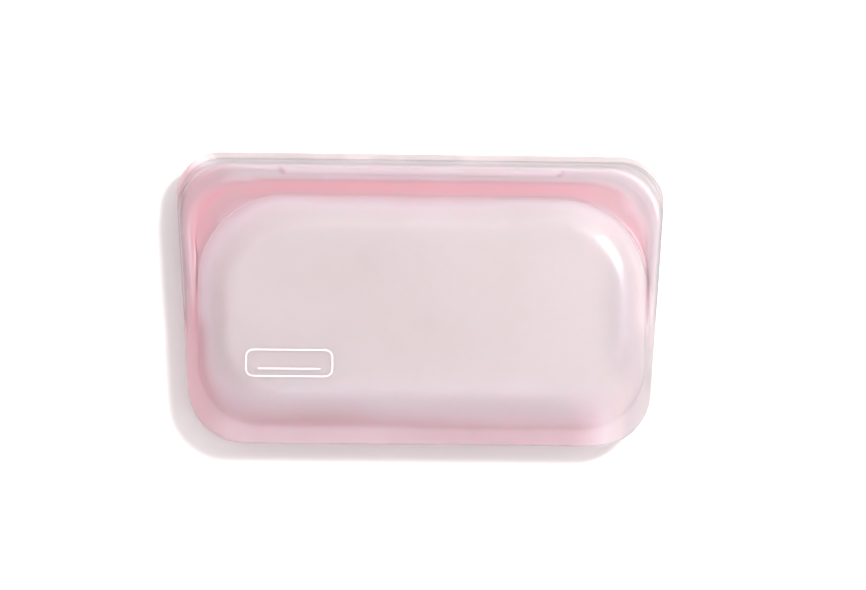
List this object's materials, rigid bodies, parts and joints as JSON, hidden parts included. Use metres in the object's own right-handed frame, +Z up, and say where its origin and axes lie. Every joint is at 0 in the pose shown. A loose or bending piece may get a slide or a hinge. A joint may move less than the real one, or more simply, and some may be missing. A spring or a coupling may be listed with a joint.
{
  "type": "reusable silicone bag",
  "caption": "Small flat food-storage bag of translucent pink silicone: two pillow-shaped walls in a bonded rim, with a press seal and pull lips across the top and round its corners.",
  "frame": {"origin": "centre of the bounding box's underside, on the plane that the back wall's flat crown lies on", "axes": "+X across the bag, +Y from the base to the mouth, +Z up through the bag, from its back to its front"},
  "size_m": [0.19, 0.114, 0.0251],
  "materials": {
    "silicone": "translucent pale pink moulded silicone, satin",
    "print": "thin white printed ink, matt"
  },
  "bodies": {
    "pouch": {"front_wall": "silicone", "front_flex_band": "silicone", "back_wall": "silicone", "back_shoulder": "silicone", "bead_track": "silicone", "seal_bead": "silicone", "back_lip": "silicone", "back_press_bar": "silicone", "mouth_web_left": "silicone", "mouth_web_right": "silicone", "side_and_base_seam": "silicone", "label_print": "print"},
    "mouth_front": {"front_mouth_wall": "silicone", "front_shoulder": "silicone", "groove_track": "silicone", "front_lip": "silicone", "front_press_bar": "silicone"}
  },
  "joints": [
    {"name": "mouth_open", "type": "hinge", "parent": "pouch", "child": "mouth_front", "pos_m": [0, 0.004, 0.0125], "axis": [1, 0, 0], "range_deg": [0, 30], "stiffness_Nm_per_rad": 0.1, "deforming": ["front_flex_band"]}
  ]
}
